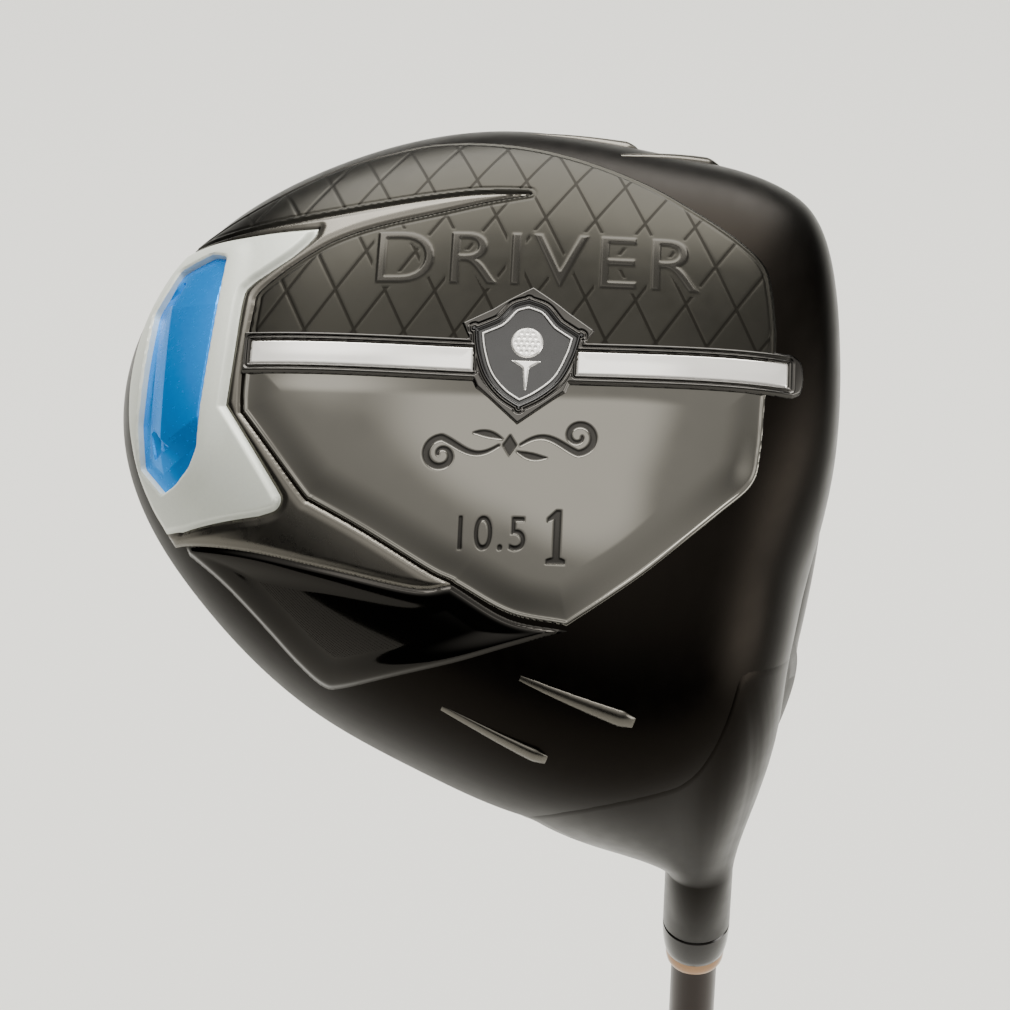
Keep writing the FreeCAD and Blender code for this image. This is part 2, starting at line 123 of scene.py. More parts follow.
def rounded(corners, radius, steps=5):
    """Closed outline through corners that are rounded by an arc-like curve."""
    corners = np.asarray(corners, float)
    line = []
    for i, corner in enumerate(corners):
        before, after = corners[i - 1] - corner, corners[(i + 1) % len(corners)] - corner
        reach = min(radius, np.linalg.norm(before) / 2.2, np.linalg.norm(after) / 2.2)
        start = corner + before / np.linalg.norm(before) * reach
        end = corner + after / np.linalg.norm(after) * reach
        for t in np.linspace(0, 1, steps):
            line.append((1 - t) ** 2 * start + 2 * t * (1 - t) * corner + t * t * end)
    line = np.array(line)
    runs = [(line[i], line[(i + 1) % len(line)]) for i in range(len(line))]
    return closed_line([r for r in runs if np.linalg.norm(r[1] - r[0]) > 1e-6])


# ---- head form

RING = [(0, 60.5), (20, 66.0), (40, 71.0), (60, 63.0), (90, 58.5), (120, 58.5), (150, 61.5),
        (180, 60.0), (210, 53.0), (240, 51.0), (265, 54.5), (290, 65.5), (310, 69.0),
        (335, 59.5)]
ring_radius = periodic_spline(np.array([math.radians(a) for a, r in RING]),
                              np.array([r for a, r in RING]), 2 * math.pi)
CENTRE_X, CENTRE_Y = -40.0, 28.0
SOLE_POWER, CROWN_POWER = 3.4, 2.2
SOLE_SHIFT, CROWN_SHIFT, CROWN_HEEL = 8.0, 20.0, -2.0
HEAD_HEIGHT = 60.0
FACE_LEAD, FACE_HEIGHT, FACE_TOE, FACE_RADIUS, EDGE_ROUND = 20.0, 30.0, 25.0, 300.0, 6.0
LOFT = math.radians(10.5)
CROWN_SEAM = -34.0
CUP_DEPTH = 8.0


def ring_height(bearing):
    """Height of the widest ring at a bearing."""
    c, s = np.cos(bearing), np.sin(bearing)
    return np.where(c > 0, -30.0, -24.0) * c * c + np.where(s > 0, -27.0, -34.0) * s * s


def face_x(y, z):
    """Face surface with its loft, roll and bulge."""
    rise, across = -z - FACE_HEIGHT, y - FACE_TOE
    return FACE_LEAD - rise * math.tan(LOFT) - (rise ** 2 + across ** 2) / (2 * FACE_RADIUS)


def soft_limit(value, limit, rounding):
    """The smaller of two lengths, blended where they meet."""
    mix = np.clip(0.5 + 0.5 * (limit - value) / rounding, 0, 1)
    return limit * (1 - mix) + value * mix - rounding * mix * (1 - mix)


def head_points(bearing, level):
    """Points of the head form: level -90 is the crown's top, 0 the ring, 90 the sole."""
    sole = level >= 0
    angle = np.radians(np.abs(level))
    shrink = np.cos(angle) ** (2 / np.where(sole, SOLE_POWER, CROWN_POWER))
    lift = np.sin(angle)
    radius = ring_radius(bearing) * shrink
    z = ring_height(bearing) * (1 - lift) + np.where(sole, 0.0, -HEAD_HEIGHT) * lift
    x = CENTRE_X + radius * np.cos(bearing) + np.where(sole, SOLE_SHIFT, CROWN_SHIFT) * lift
    y = CENTRE_Y + radius * np.sin(bearing) + np.where(sole, 0.0, CROWN_HEEL) * lift
    x = soft_limit(x, face_x(y, z), EDGE_ROUND)
    return np.stack([x, y, z], axis=-1)


def sole_height(x, y):
    """Height of the sole over a point, found by repeated substitution."""
    lift = np.ones_like(x)
    for _ in range(40):
        bearing = np.arctan2(y - CENTRE_Y, x - CENTRE_X - SOLE_SHIFT * lift)
        across = np.hypot(x - CENTRE_X - SOLE_SHIFT * lift, y - CENTRE_Y)
        share = np.minimum(across / ring_radius(bearing), 1.0)
        lift = 0.5 * lift + 0.5 * np.sqrt(1 - share ** SOLE_POWER)
    return ring_height(bearing) * (1 - lift)


def sole_normal(x, y):
    """Outward normal of the sole over a point."""
    d = 0.4
    across = (sole_height(x + d, y) - sole_height(x - d, y)) / (2 * d)
    along = (sole_height(x, y + d) - sole_height(x, y - d)) / (2 * d)
    normal = np.stack([-across, -along, np.ones_like(x)], axis=-1)
    return normal / np.linalg.norm(normal, axis=-1, keepdims=True)


# ---- meshes

def mesh_piece(name, points, faces, material, nodes=(), sharp=35.0, marks=None):
    """Mesh object from row frame points in millimetres; faces is a list of index arrays."""
    mesh = bpy.data.meshes.new(name)
    points = np.asarray(points, float) * MM
    loops = np.concatenate([np.asarray(f).ravel() for f in faces])
    counts = np.concatenate([np.full(len(f), np.asarray(f).shape[1]) for f in faces])
    mesh.vertices.add(len(points))
    mesh.vertices.foreach_set("co", points.ravel())
    mesh.loops.add(len(loops))
    mesh.loops.foreach_set("vertex_index", loops.astype(np.int32))
    mesh.polygons.add(len(counts))
    starts = np.concatenate([[0], np.cumsum(counts)[:-1]])
    mesh.polygons.foreach_set("loop_start", starts.astype(np.int32))
    mesh.update(calc_edges=True)
    mesh.validate()
    for mark, values in (marks or {}).items():
        layer = mesh.attributes.new(mark, "FLOAT", "POINT")
        layer.data.foreach_set("value", np.asarray(values, np.float32))
    mesh.polygons.foreach_set("use_smooth", np.ones(len(mesh.polygons), bool))
    mesh.set_sharp_from_angle(angle=math.radians(sharp))
    mesh.materials.append(material)
    obj = bpy.data.objects.new(name, mesh)
    bpy.context.scene.collection.objects.link(obj)
    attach(obj, "root")
    if nodes:
        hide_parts(*nodes)
    return obj


def grid_quads(rows, columns, close_rows=False, close_columns=False):
    """Quads of a grid whose points are numbered row by row; a closed side meets itself."""
    i = np.arange(rows if close_rows else rows - 1)[:, None]
    j = np.arange(columns if close_columns else columns - 1)[None, :]
    i2, j2 = (i + 1) % rows, (j + 1) % columns
    corners = [i * columns + j, i * columns + j2, i2 * columns + j2, i2 * columns + j]
    return np.stack(corners, axis=-1).reshape(-1, 4)


def lathe(name, profile, material, nodes=(), around=96, sharp=35.0, ripple=None):
    """Turned piece about the shaft axis: the profile is a closed list of (radius, height)."""
    profile = np.asarray(profile, float)
    angle = np.arange(around) * 2 * math.pi / around
    radius = np.repeat(profile[:, :1], around, axis=1)
    height = np.repeat(profile[:, 1:], around, axis=1)
    if ripple is not None:
        radius = radius + ripple(angle[None, :], height, radius)
    points = np.stack([radius * np.cos(angle), radius * np.sin(angle), height], axis=-1)
    quads = grid_quads(len(profile), around, True, True)
    return mesh_piece(name, points.reshape(-1, 3), [quads], material, nodes, sharp)


class Patch:
    """Fine grid over the sole, with distances to lines that are drawn on it."""

    def __init__(self, line, step, holes=()):
        self.step = step
        self.segments = np.vstack([ring_segments(line)] + [ring_segments(h) for h in holes])
        low, high = line.min(axis=0) - step, line.max(axis=0) + step
        self.low = low
        self.nx, self.ny = [int(v) + 2 for v in (high - low) / step]
        self.x = low[0] + step * np.arange(self.nx)
        self.y = low[1] + step * np.arange(self.ny)
        self.grid = np.stack(np.meshgrid(self.x, self.y, indexing="ij"), axis=-1)

    def inside(self, segments, shift=0.0):
        """Whether each grid point, moved by a shift, lies inside closed segments."""
        odd = np.zeros((self.nx, self.ny), bool)
        for (x1, y1), (x2, y2) in segments - shift:
            if y1 == y2:
                continue
            if y1 > y2:
                x1, y1, x2, y2 = x2, y2, x1, y1
            first = int(np.searchsorted(self.y, y1))
            last = int(np.searchsorted(self.y, y2))
            for j in range(first, last):
                cross = x1 + (self.y[j] - y1) * (x2 - x1) / (y2 - y1)
                odd[int(np.searchsorted(self.x, cross)):, j] ^= True
        return odd

    def distance(self, segments, reach):
        """Distance from each grid point to the nearest segment, up to a reach."""
        found = np.full((self.nx, self.ny), float(reach))
        for a, b in segments:
            low = np.minimum(a, b) - reach
            high = np.maximum(a, b) + reach
            i1, i2 = np.searchsorted(self.x, (low[0], high[0]))
            j1, j2 = np.searchsorted(self.y, (low[1], high[1]))
            if i1 == i2 or j1 == j2:
                continue
            part = self.grid[i1:i2, j1:j2] - a
            along = b - a
            t = np.clip(part @ along / max(along @ along, 1e-12), 0, 1)
            gap = np.linalg.norm(part - t[..., None] * along, axis=-1)
            found[i1:i2, j1:j2] = np.minimum(found[i1:i2, j1:j2], gap)
        return found

    def build(self, name, height, material, nodes=(), marks=None, skirt=1.6, sharp=35.0):
        """Mesh over the grid cells inside the outline, snapped to it, with a skirt."""
        keep = self.inside(self.segments, self.step / 2)[:-1, :-1]
        ci, cj = np.nonzero(keep)
        ny = self.ny
        corners = np.stack([ci * ny + cj, (ci + 1) * ny + cj, (ci + 1) * ny + cj + 1,
                            ci * ny + cj + 1], axis=-1)
        used, faces = np.unique(corners, return_inverse=True)
        faces = faces.reshape(-1, 4)
        flat = self.grid.reshape(-1, 2)[used].copy()
        edges = np.concatenate([faces[:, [k, (k + 1) % 4]] for k in range(4)])
        keys = np.sort(edges, axis=1)
        _, first, counts = np.unique(keys[:, 0] * len(used) + keys[:, 1], return_index=True,
                                     return_counts=True)
        rim = edges[first[counts == 1]]
        rim_points = np.unique(rim)
        flat[rim_points] = snap(flat[rim_points], self.segments)
        values = height.reshape(-1)[used]
        x, y = flat[:, 0], flat[:, 1]
        surface = np.stack([x, y, sole_height(x, y)], axis=-1)
        normal = sole_normal(x, y)
        top = surface + normal * values[:, None]
        foot = surface[rim_points] - normal[rim_points] * skirt
        place = np.full(len(used), -1)
        place[rim_points] = len(used) + np.arange(len(rim_points))
        walls = np.stack([rim[:, 1], rim[:, 0], place[rim[:, 0]], place[rim[:, 1]]], axis=-1)
        carried = {}
        for mark, field in (marks or {}).items():
            field = field.reshape(-1)[used]
            carried[mark] = np.concatenate([field, field[rim_points]])
        points = to_row(np.vstack([top, foot]))
        return mesh_piece(name, points, [faces, walls], material, nodes, sharp, carried)


def snap(points, segments):
    """Move points to the nearest place on any segment."""
    a, b = segments[:, 0], segments[:, 1]
    along = b - a
    size = np.maximum((along ** 2).sum(axis=1), 1e-12)
    moved = np.empty_like(points)
    for start in range(0, len(points), 400):
        part = points[start:start + 400]
        t = np.clip(((part[:, None] - a) * along).sum(axis=2) / size, 0, 1)
        near = a + t[..., None] * along
        gap = ((near - part[:, None]) ** 2).sum(axis=2)
        moved[start:start + 400] = near[np.arange(len(part)), gap.argmin(axis=1)]
    return moved


def smooth(value, low, high):
    """Smooth step from 0 at low to 1 at high."""
    t = np.clip((value - low) / (high - low), 0, 1)
    return t * t * (3 - 2 * t)


# ---- materials

def remap(tree, source, low, high, first, last, shape="LINEAR"):
    """Change of a socket's value from the range low to high into the range first to last."""
    node = tree.nodes.new("ShaderNodeMapRange")
    node.interpolation_type = shape
    tree.links.new(source, node.inputs["Value"])
    for name, number in (("From Min", low), ("From Max", high), ("To Min", first),
                         ("To Max", last)):
        node.inputs[name].default_value = number
    return node.outputs["Result"]


def mixed(tree, kind, factor, first, second):
    """Mix node between two values or sockets."""
    node = tree.nodes.new("ShaderNodeMix")
    node.data_type = kind
    tree.links.new(factor, node.inputs["Factor"])
    for name, value in (("A", first), ("B", second)):
        if isinstance(value, bpy.types.NodeSocket):
            tree.links.new(value, node.inputs[name])
        else:
            node.inputs[name].default_value = value
    return node.outputs["Result"]


def grained(name, colour, metallic, roughness, coat=0.0, coat_rough=0.05, size=0.004, tone=0.12,
            spread=0.06, bump=0.00001, marks=(), stretch=(1, 1, 1)):
    """Procedural finish: colour and roughness vary with noise over the piece, and a mark is an
    attribute (name, width, colour, roughness) that is painted where its value is under the
    width."""
    material = bpy.data.materials.new(name)
    material.use_nodes = True
    tree = material.node_tree
    nodes, link = tree.nodes, tree.links.new
    shader = nodes["Principled BSDF"]
    where = nodes.new("ShaderNodeTexCoord")
    scale = nodes.new("ShaderNodeVectorMath")
    scale.operation = "MULTIPLY"
    scale.inputs[1].default_value = stretch
    link(where.outputs["Object"], scale.inputs[0])
    noise = nodes.new("ShaderNodeTexNoise")
    noise.inputs["Scale"].default_value = 1 / size
    noise.inputs["Detail"].default_value = 5.0
    link(scale.outputs[0], noise.inputs["Vector"])
    grain = noise.outputs["Fac"]
    dark, light = [tuple(min(1.0, c * (1 + k * tone)) for c in colour) + (1.0,)
                   for k in (-1, 1)]
    colour_out = mixed(tree, "RGBA", grain, dark, light)
    rough_out = remap(tree, grain, 0.3, 0.7, max(0.0, roughness - spread), roughness + spread)
    for mark, width, mark_colour, mark_rough in marks:
        read = nodes.new("ShaderNodeAttribute")
        read.attribute_name = mark
        edge = remap(tree, read.outputs["Fac"], width - 0.05, width + 0.05, 1.0, 0.0)
        colour_out = mixed(tree, "RGBA", edge, colour_out, tuple(mark_colour) + (1.0,))
        rough_out = mixed(tree, "FLOAT", edge, rough_out, mark_rough)
    link(colour_out, shader.inputs["Base Color"])
    link(rough_out, shader.inputs["Roughness"])
    relief = nodes.new("ShaderNodeBump")
    relief.inputs["Strength"].default_value = 1.0
    relief.inputs["Distance"].default_value = bump
    link(grain, relief.inputs["Height"])
    link(relief.outputs["Normal"], shader.inputs["Normal"])
    shader.inputs["Metallic"].default_value = metallic
    shader.inputs["Coat Weight"].default_value = coat
    shader.inputs["Coat Roughness"].default_value = coat_rough
    return material


SATIN_GRAIN = {"size": 0.003, "tone": 0.05, "spread": 0.03, "bump": 0.000001}
GLOSS_GRAIN = {"coat": 0.2, "coat_rough": 0.03, "size": 0.006, "tone": 0.04, "spread": 0.03,
               "bump": 0.0000005}
SATIN = grained("satin_black", (0.0095, 0.0080, 0.0066), 1.0, 0.33, stretch=(1, 0.25, 1),
                **SATIN_GRAIN)
# frame finish: the body's dark satin with a much lighter colour, a painted highlight that stands in
# for the ceiling's reflection on the frame and along the fins' tops
FRAME_PAINTED_HIGHLIGHT = grained("satin_frame_painted_highlight", (0.125, 0.117, 0.102), 1.0, 0.28, stretch=(1, 0.25, 1),
                **SATIN_GRAIN)
LATTICE = grained("satin_lattice", (0.029, 0.0275, 0.0235), 1.0, 0.32, **SATIN_GRAIN,
                  marks=[("lattice", 0.24, (0.0135, 0.0125, 0.0105), 0.4),
                         ("letters", 0.0, (0.037, 0.035, 0.031), 0.22)])
GLOSS = grained("gloss_black", (0.140, 0.133, 0.117), 1.0, 0.09, **GLOSS_GRAIN,
                marks=[("letters", 0.0, (0.03, 0.028, 0.025), 0.35)])
WEDGE = grained("gloss_wedge", (0.024, 0.022, 0.0195), 1.0, 0.09, **GLOSS_GRAIN)
RIM = grained("rim_black", (0.045, 0.042, 0.038), 1.0, 0.16, coat=0.4, size=0.006, tone=0.04,
              spread=0.02, bump=0.0000005)
CROWN = grained("crown_black", (0.005, 0.005, 0.006), 0.4, 0.2, coat=0.3, coat_rough=0.03,
                size=0.0008, tone=0.5, bump=0.000001)
CHROME = grained("bright_chrome", (0.97, 0.945, 0.90), 0.55, 0.14, size=0.003, tone=0.03,
                 spread=0.03, bump=0.000002)
WHITE = grained("pearl_white", (0.74, 0.77, 0.69), 0.15, 0.34, coat=0.3, size=0.0006, tone=0.05,
                bump=0.000002)
BLUE = grained("metal_blue", (0.0, 0.31, 1.0), 0.6, 0.26, coat=0.1, size=0.001, tone=0.04,
               spread=0.02, bump=0.0000005)
PLASTIC = grained("ferrule_plastic", (0.008, 0.006, 0.005), 0.3, 0.2, coat=0.2, size=0.002,
                  bump=0.000002)
BRONZE = grained("bronze_ring", (0.32, 0.20, 0.12), 1.0, 0.22, size=0.001, bump=0.000002)
SHAFT = grained("shaft_black", (0.016, 0.008, 0.005), 0.6, 0.34, coat=0.12, coat_rough=0.05,
                size=0.004, tone=0.3, bump=0.000002, stretch=(1, 1, 0.1))
RUBBER = grained("grip_rubber", (0.020, 0.020, 0.021), 0.0, 0.72, size=0.0008, tone=0.3,
                 bump=0.00003)
BRASS = grained("plug_brass", (0.55, 0.40, 0.16), 1.0, 0.3, size=0.002)
TAPE = grained("tape", (0.55, 0.52, 0.45), 0.0, 0.8, size=0.001)
for node, finish in (("swing_weight_plug", BRASS), ("grip_tape", TAPE)):
    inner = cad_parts[node]
    inner.data.materials.clear()
    inner.data.materials.append(finish)

# ---- head shell

AROUND, DOWN = 720, 200
# the heel end of the face is a little slimmer than the plain form
SLIM_MIDDLE, SLIM_DEPTH, SLIM_REACH = (13.4, -11.5, -40.0), 1.5, 12.0


def shell_mesh():
    """Closed mesh of the whole head form, as row frame metres."""
    bearing = np.arange(AROUND) * 2 * math.pi / AROUND
    even = np.linspace(-1, 1, DOWN)
    level = np.degrees(np.arcsin(even * (1 - 0.12 * (1 - even * even))))
    level = np.clip(level * 0.995, -89.2, 89.2)
    grid_level, grid_bearing = np.meshgrid(level, bearing, indexing="ij")
    points = head_points(grid_bearing, grid_level)
    gap = np.linalg.norm(points - np.array(SLIM_MIDDLE), axis=-1)
    points[..., 0] -= SLIM_DEPTH * np.exp(-(gap / SLIM_REACH) ** 2)
    points = to_row(points).reshape(-1, 3)
    return points, grid_quads(DOWN, AROUND, close_columns=True)


SHELL_POINTS, SHELL_QUADS = shell_mesh()
shell_tree = BVHTree.FromPolygons([Vector(p) for p in SHELL_POINTS],
                                  [tuple(int(v) for v in q) for q in SHELL_QUADS])


# ---- neck

HOSEL_RADIUS, HOSEL_TOP, TIP_RADIUS = 5.8, 80.0, 4.0
NECK_CORE, TUBE_JOIN, BORE_BOTTOM = 36.0, 66.0, 46.0
FRONT_REACH, REAR_REACH, SIDE_REACH = 31.0, 27.0, 18.0
# shares of the span that shape the funnel's curve, and how far its foot stands over the skin
FOOT_PULL, FACE_EASE, TUBE_PULL, FACE_CHORD, FOOT_RISE = 0.45, 0.10, 0.08, 0.2, 0.12
CORE = Vector((0, 0, CLUB_LENGTH - NECK_CORE))


def neck_reach(angle):
    """How far the funnel runs over the skin in one half plane; the face side is at angle 0."""
    front = float(smooth(math.cos(angle), -0.35, 0.75))
    rear = max(0.0, -math.cos(angle))
    return SIDE_REACH + (FRONT_REACH - SIDE_REACH) * front + (
        REAR_REACH - SIDE_REACH) * rear ** 2


def neck_line(angle):
    """Profile of the neck in one half plane through the shaft axis, as (radius, height) from the
    head's skin through the funnel and up the tube, and the tilt of its foot seen from the core."""
    side = Vector((math.cos(angle), math.sin(angle), 0))
    line = []
    for tilt in np.radians(np.linspace(2, 160, 300)):
        ray = side * math.sin(tilt) - Vector((0, 0, 1)) * math.cos(tilt)
        hit = shell_tree.ray_cast(CORE, ray)[0]
        if hit is not None:
            line.append(((hit - CORE).dot(side), hit.z))
    line = np.array(line)
    first = int(np.argmax(line[:, 0] > HOSEL_RADIUS))
    skin = line[first:]
    travel = np.concatenate([[0], np.cumsum(np.linalg.norm(np.diff(skin, axis=0), axis=1))])

    def on_skin(distance):
        return np.array([np.interp(distance, travel, skin[:, k]) for k in (0, 1)])

    reach = neck_reach(angle)
    foot, under = on_skin(reach), on_skin(reach + 1.0)
    slope = foot - on_skin(reach + 1.2)
    slope /= np.linalg.norm(slope)
    outward = foot - np.array([0, CORE.z])
    foot = foot + FOOT_RISE * outward / np.linalg.norm(outward)
    top = np.array([HOSEL_RADIUS, CLUB_LENGTH - TUBE_JOIN])
    span = np.linalg.norm(foot - top)
    lean = max(0.0, math.cos(angle))
    pull = foot + slope * span * (FOOT_PULL - FACE_EASE * lean)
    grip = top + np.array([0, span * TUBE_PULL]) + (foot - top) * FACE_CHORD * lean
    inner = under + (np.array([0, CORE.z]) - under) * 0.006
    t = np.linspace(0, 1, 48)[:, None]
    blend = ((1 - t) ** 3 * foot + 3 * t * (1 - t) ** 2 * pull + 3 * t * t * (1 - t) * grip
             + t ** 3 * top)
    tube = np.array([[HOSEL_RADIUS, CLUB_LENGTH - HOSEL_TOP + 0.4],
                     [HOSEL_RADIUS - 0.3, CLUB_LENGTH - HOSEL_TOP],
                     [TIP_RADIUS, CLUB_LENGTH - HOSEL_TOP],
                     [TIP_RADIUS, CLUB_LENGTH - BORE_BOTTOM]])
    return np.vstack([inner, blend, tube]), math.atan2(foot[0], CORE.z - foot[1])


NECK_AROUND = 144
NECK_ANGLES = np.arange(NECK_AROUND) * 2 * math.pi / NECK_AROUND
neck_lines = [neck_line(angle) for angle in NECK_ANGLES]
FOOT_TILTS = np.array([tilt for line, tilt in neck_lines])


def under_neck(point):
    """Whether a row frame point lies under the neck's funnel, seen from its core."""
    x, y, z = point[0], point[1], point[2] - CORE.z
    tilt = math.atan2(math.hypot(x, y), -z)
    turn = math.atan2(y, x) % (2 * math.pi) / (2 * math.pi) * NECK_AROUND
    low = int(turn) % NECK_AROUND
    share = turn - int(turn)
    limit = FOOT_TILTS[low] * (1 - share) + FOOT_TILTS[(low + 1) % NECK_AROUND] * share
    return tilt < limit - 0.008


def build_neck():
    """Neck swept from its half-plane profiles."""
    lines = np.array([line for line, tilt in neck_lines])
    points = np.stack([lines[..., 0] * np.cos(NECK_ANGLES)[:, None],
                       lines[..., 0] * np.sin(NECK_ANGLES)[:, None], lines[..., 1]], axis=-1)
    quads = grid_quads(NECK_AROUND, lines.shape[1], close_rows=True)
    return mesh_piece("hosel_neck_skin", points.reshape(-1, 3), [quads], SATIN,
                      ("hosel_neck",), sharp=60)


build_neck()

# ---- shell pieces

def plane_in_row(point, normal):
    """A head frame plane as a row frame point and normal, in millimetres."""
    start, end = to_row(point), to_row(np.add(point, normal))
    return Vector(start), Vector(end - start)


CUP_PLANE = plane_in_row((FACE_LEAD - CUP_DEPTH, 0, -FACE_HEIGHT),
                         (math.cos(LOFT), 0, math.sin(LOFT)))
SEAM_PLANE = plane_in_row((0, 0, CROWN_SEAM), (0, 0, 1))


def split_shell():
    """The shell cut along the cup and crown seams: points, faces and a region for each face."""
    work = bmesh.new()
    made = [work.verts.new(p) for p in SHELL_POINTS]
    for quad in SHELL_QUADS:
        work.faces.new([made[v] for v in quad])
    for row in (0, DOWN - 1):
        ring = made[row * AROUND:(row + 1) * AROUND]
        centre = sum((v.co for v in ring), Vector()) / AROUND
        pole = work.verts.new(centre)
        for a, b in zip(ring, ring[1:] + ring[:1]):
            work.faces.new((a, b, pole) if row else (b, a, pole))
    for point, normal in (CUP_PLANE, SEAM_PLANE):
        bmesh.ops.bisect_plane(work, geom=work.verts[:] + work.edges[:] + work.faces[:],
                               dist=1e-4, plane_co=point, plane_no=normal)
    bmesh.ops.recalc_face_normals(work, faces=work.faces[:])
    work.verts.index_update()
    points = np.array([v.co for v in work.verts])
    regions = {"cup": [], "crown": [], "sole": []}
    for face in work.faces:
        middle = face.calc_center_median()
        if under_neck(middle):
            continue
        if (middle - CUP_PLANE[0]).dot(CUP_PLANE[1]) > 0:
            region = "cup"
        elif (middle - SEAM_PLANE[0]).dot(SEAM_PLANE[1]) > 0:
            region = "sole"
        else:
            region = "crown"
        regions[region].append([v.index for v in face.verts])
    work.free()
    return points, regions


shell_points, shell_regions = split_shell()


def shell_piece(name, region, material, node):
    """One region of the shell as a piece."""
    faces = [f for f in shell_regions[region] if len(f) in (3, 4)]
    faces += [t for f in shell_regions[region] if len(f) > 4
              for t in [[f[0], f[k], f[k + 1]] for k in range(1, len(f) - 1)]]
    used, compact = np.unique(np.concatenate(faces), return_inverse=True)
    parts, at = {3: [], 4: []}, 0
    for face in faces:
        parts[len(face)].append(compact[at:at + len(face)])
        at += len(face)
    arrays = [np.array(parts[k]) for k in (3, 4) if parts[k]]
    return mesh_piece(name, shell_points[used], arrays, material, (node,), sharp=50)


shell_piece("sole_shell", "sole", SATIN, "sole_body")
shell_piece("crown_skin", "crown", CROWN, "crown_shell")
shell_piece("face_cup_skin", "cup", SATIN, "face_cup")

# ---- outlines of the sole trim

BAR_HALF = 2.1
SHIELD_X, SHIELD_Y = -31.6, 37.6


def keep_in(line, share=0.995):
    """Pull an outline in where it runs past the widest ring."""
    line = np.array(line, float)
    offset = line - [CENTRE_X + 1.8, CENTRE_Y]
    radius = np.hypot(offset[:, 0], offset[:, 1])
    limit = share * ring_radius(np.arctan2(offset[:, 1], offset[:, 0]))
    offset *= np.minimum(1, limit / np.maximum(radius, 1e-9))[:, None]
    return offset + [CENTRE_X + 1.8, CENTRE_Y]


def bar_y(x):
    """Height of the bar's middle line over the sole, slightly bowed."""
    return 35.5 + 1.6 * ((x + 28.0) / 49.0) ** 2


def straight(points):
    """Straight runs between points."""
    return [list(pair) for pair in zip(points, points[1:])]


def on_bar(x, side=0.0):
    """A point at a distance from the bar's middle line."""
    return x, bar_y(x) + side


def bar_edge(x_from, x_to, side):
    """A line along the bar at a distance from its middle line."""
    return [on_bar(x, side) for x in np.linspace(x_from, x_to, 8)]


SPEAR_TIP = (-32.6, 66.4)
LOW_TIP = (-41.9, -1.8)
OUTER_TOE = [(-91.2, 60.9), (-78.9, 67.8), (-65.9, 74.6), (-56.5, 77.4), (-47.9, 78.9),
             (-35.7, 77.9), (-24.6, 75.1), (-13.7, 70.4), (-4.9, 64.8), (2.7, 59.4), (6.9, 55.2),
             (8.2, 50.2), (8.9, 44.0)]
OUTER_FRONT = [(8.5, 36.0), (7.8, 32.1), (7.3, 23.3), (6.0, 17.4),
               (0.8, 11.7), (-9.2, 2.1), (-16.2, -3.5), (-23.1, -8.3)]
SPEAR_TOP = [SPEAR_TIP, (-40.5, 66.3), (-49.2, 65.2), (-58.0, 63.8), (-68.3, 62.3),
             (-81.4, 61.2), (-91.2, 60.9)]
INNER_TOE = [(-77.2, 45.5), (-76.6, 48.2), (-72.5, 52.0), (-68.4, 55.0), (-64.4, 57.4),
             (-58.1, 59.8), (-47.3, 62.6), (-40.0, 64.6), SPEAR_TIP]
INNER_HEEL = [(-42.0, -1.6), (-46.2, 0.3), (-57.1, 6.7), (-65.6, 11.4), (-67.6, 13.2),
              (-78.1, 26.8), (-78.3, 30.0), (-78.2, 36.0), (-77.2, 45.5)]
WEDGE_TOP = [LOW_TIP, (-48.3, -2.2), (-63.2, 1.4), (-75.4, 4.8), (-87.2, 7.8)]
BACK_X, FRONT_X = -77.9, 8.9
TOE_LINE = closed_line([OUTER_TOE, [OUTER_TOE[-1], on_bar(FRONT_X)],
                        bar_edge(FRONT_X, BACK_X, 0.0), [on_bar(BACK_X), INNER_TOE[0]],
                        INNER_TOE[:3], INNER_TOE[2:], SPEAR_TOP])
HEEL_LINE = closed_line([[on_bar(FRONT_X), OUTER_FRONT[0]], OUTER_FRONT,
                         [OUTER_FRONT[-1], (-32.5, -6.6), LOW_TIP], INNER_HEEL[:4],
                         INNER_HEEL[3:6], INNER_HEEL[5:8], [INNER_HEEL[7], on_bar(BACK_X)],
                         bar_edge(BACK_X, FRONT_X, 0.0)])
WEDGE_LINE = closed_line([
    WEDGE_TOP, [WEDGE_TOP[-1], (-86.6, 6.4)],
    [(-86.6, 6.4), (-80.0, 0.8), (-73.0, -5.9), (-67.8, -10.9), (-63.4, -14.3), (-60.1, -15.1),
     (-53.0, -14.7), (-41.6, -13.2), (-32.0, -11.0), (-23.1, -8.7)],
    [(-23.1, -8.7), (-32.5, -7.0), LOW_TIP]])
FRAME_LINE = keep_in(closed_line([
    SPEAR_TOP, [(-91.2, 60.9), (-99.0, 52.0), (-103.0, 36.0), (-101.0, 20.0), (-96.0, 9.5)],
    [(-96.0, 9.5), WEDGE_TOP[-1]], WEDGE_TOP[::-1], INNER_HEEL[:4], INNER_HEEL[3:6],
    INNER_HEEL[5:], INNER_TOE[:3], INNER_TOE[2:]]))
BEZEL_LINE = keep_in(closed_line([
    [(-67.5, 59.9), (-68.2, 58.0), (-71.0, 54.9), (-75.5, 51.6)],
    [(-75.5, 51.6), (-78.1, 49.6), (-79.2, 47.0), (-79.9, 37.0), (-80.6, 28.2)],
    [(-80.6, 28.2), (-71.2, 13.8)], [(-71.2, 13.8), (-70.4, 12.2), (-71.2, 10.6), (-74.0, 9.9)],
    [(-74.0, 9.9), (-80.0, 9.8), (-87.5, 9.7)],
    [(-87.5, 9.7), (-92.6, 11.6), (-97.6, 19.8), (-101.0, 30.4), (-101.0, 40.5), (-98.6, 51.2),
     (-92.0, 59.5)],
    [(-92.0, 59.5), (-80.0, 60.0), (-67.5, 59.9)]]))
